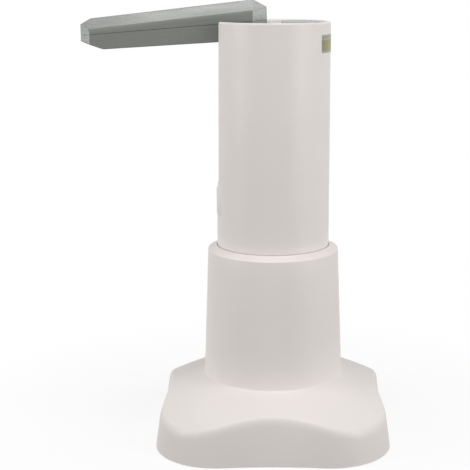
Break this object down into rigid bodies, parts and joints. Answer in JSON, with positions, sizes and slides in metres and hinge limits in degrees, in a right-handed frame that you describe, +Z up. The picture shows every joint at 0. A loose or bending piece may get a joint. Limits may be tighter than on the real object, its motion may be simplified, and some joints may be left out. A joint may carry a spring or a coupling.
{
  "type": "water jug hand pump",
  "caption": "Press-down hand pump for a water jug: white column sliding in a collared foot, with a folding grey spout arm on top.",
  "frame": {"origin": "on the column's axis, in the plane of the neck socket's mouth, which is level with the feet", "axes": "+Z up along the column, away from the jug; the spout points along -X when folded out; +Y to the right of someone who faces the way the spout points"},
  "size_m": [0.1511, 0.1164, 0.2173],
  "materials": {
    "white_abs": "satin injection-moulded ABS, warm white",
    "light_grey_abs": "satin injection-moulded ABS, light grey",
    "grey_abs": "satin injection-moulded ABS, mid grey",
    "key_grey": "fine matt grey plastic",
    "natural_pom": "smooth natural acetal bearing plastic",
    "clear_pp": "milky polypropylene",
    "black_rubber": "black nitrile rubber",
    "silicone": "translucent food-grade silicone",
    "stainless": "polished stainless steel",
    "spring_steel": "drawn stainless spring wire",
    "label_film": "plain adhesive film"
  },
  "bodies": {
    "base": {"base_shell": "white_abs", "base_plate": "light_grey_abs", "rubber_feet": "black_rubber", "base_screws": "stainless", "neck_socket": "white_abs", "socket_screws": "stainless", "neck_seal": "silicone", "guide_bush": "natural_pom", "pump_barrel": "clear_pp", "barrel_screws": "stainless", "barrel_cap": "natural_pom", "inlet_fitting": "natural_pom", "inlet_nut": "natural_pom", "inlet_cage": "natural_pom", "return_spring": "spring_steel"},
    "column": {"column_tube": "white_abs", "stop_ring": "natural_pom", "press_plate": "white_abs", "piston_rod": "stainless", "piston": "natural_pom", "piston_seal": "silicone", "outlet_cage": "natural_pom", "manifold": "clear_pp", "bay_liner": "light_grey_abs", "spout_clip": "white_abs", "top_cap": "light_grey_abs", "hinge_pin": "stainless", "pin_orings": "black_rubber", "side_label": "label_film", "vent_spring": "spring_steel"},
    "spout": {"spout_upper_shell": "grey_abs", "spout_lower_shell": "grey_abs", "spout_screws": "stainless", "spout_hub": "natural_pom", "spout_duct": "silicone", "outlet_nozzle": "natural_pom", "nozzle_screen": "natural_pom"},
    "vent_key": {"vent_button": "key_grey", "vent_disc": "silicone"},
    "inlet_valve": {"inlet_ball": "stainless"},
    "outlet_valve": {"outlet_ball": "stainless"}
  },
  "joints": [
    {"name": "press_stroke", "type": "slide", "parent": "base", "child": "column", "axis": [0, 0, -1], "range_m": [0, 0.015], "stiffness_N_per_m": 500, "springref_m": -0.02, "deforming": ["return_spring"]},
    {"name": "spout_fold", "type": "hinge", "parent": "column", "child": "spout", "pos_m": [-0.009, 0, 0.1995], "axis": [0, -1, 0], "range_deg": [0, 83.3]},
    {"name": "vent_press", "type": "slide", "parent": "column", "child": "vent_key", "axis": [0, 0, -1], "range_m": [0, 0.0012], "stiffness_N_per_m": 200, "springref_m": -0.003, "deforming": ["vent_spring"]},
    {"name": "inlet_ball_lift", "type": "slide", "parent": "base", "child": "inlet_valve", "axis": [0, 0, 1], "range_m": [0, 0.0018]},
    {"name": "outlet_ball_lift", "type": "slide", "parent": "column", "child": "outlet_valve", "axis": [0, 0, 1], "range_m": [0, 0.0015]}
  ]
}
